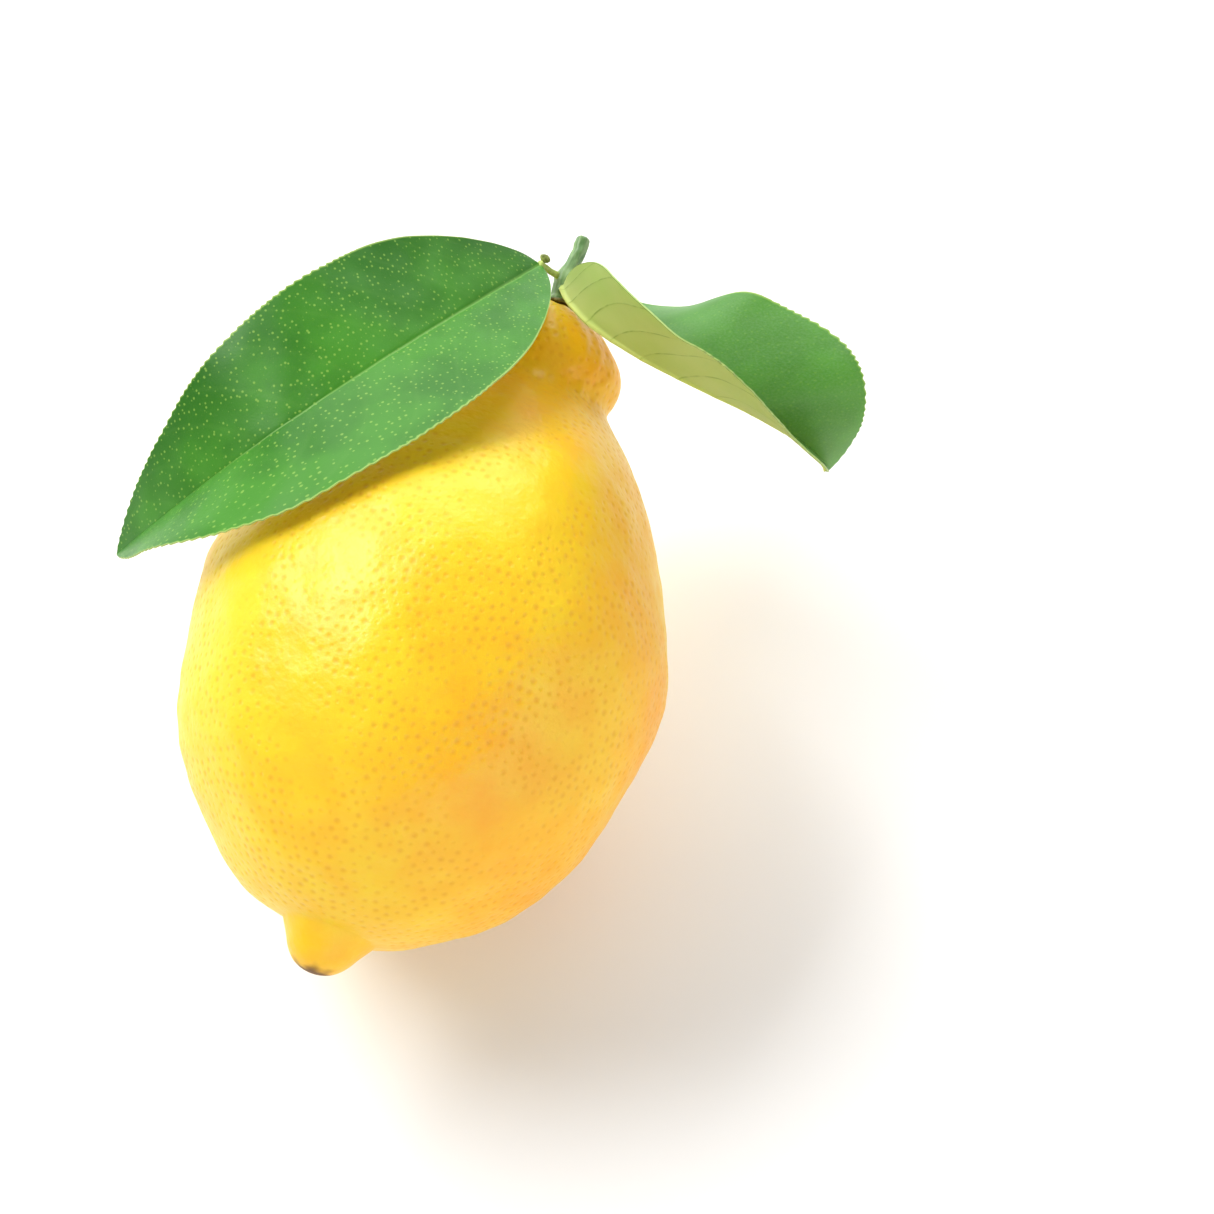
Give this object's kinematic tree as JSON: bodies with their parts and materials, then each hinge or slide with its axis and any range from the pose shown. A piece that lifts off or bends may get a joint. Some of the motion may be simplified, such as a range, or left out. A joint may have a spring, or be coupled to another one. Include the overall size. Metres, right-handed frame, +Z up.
{
  "type": "lemon",
  "caption": "A whole lemon with a blunt nipple and a furrowed neck, lying on its side, with its calyx, a short cut stem and a pair of folded leaves.",
  "frame": {"origin": "middle of the small flat spot on the belly that the fruit rests on", "axes": "+Z up. The fruit's long axis lies in the YZ plane, with the nipple towards -Y and the stem end towards +Y, raised by 6 degrees. +X is the side that the folded right leaf hangs on"},
  "size_m": [0.0939, 0.1119, 0.0706],
  "materials": {
    "peel": "waxy lemon-yellow rind with fine oil-gland pits, satin",
    "calyx_skin": "dull olive brown, slightly corky",
    "stem_bark": "smooth young green bark",
    "petiole_skin": "smooth yellow-green",
    "bud_scale": "dull brown scales",
    "leaf_green": "leathery deep green above with pale oil dots, matt light green below"
  },
  "bodies": {
    "root": {"fruit": "peel", "calyx": "calyx_skin", "stem": "stem_bark", "left_petiole": "petiole_skin", "left_bud": "bud_scale", "left_leaf": "leaf_green", "right_petiole": "petiole_skin", "right_leaf": "leaf_green"}
  },
  "joints": []
}
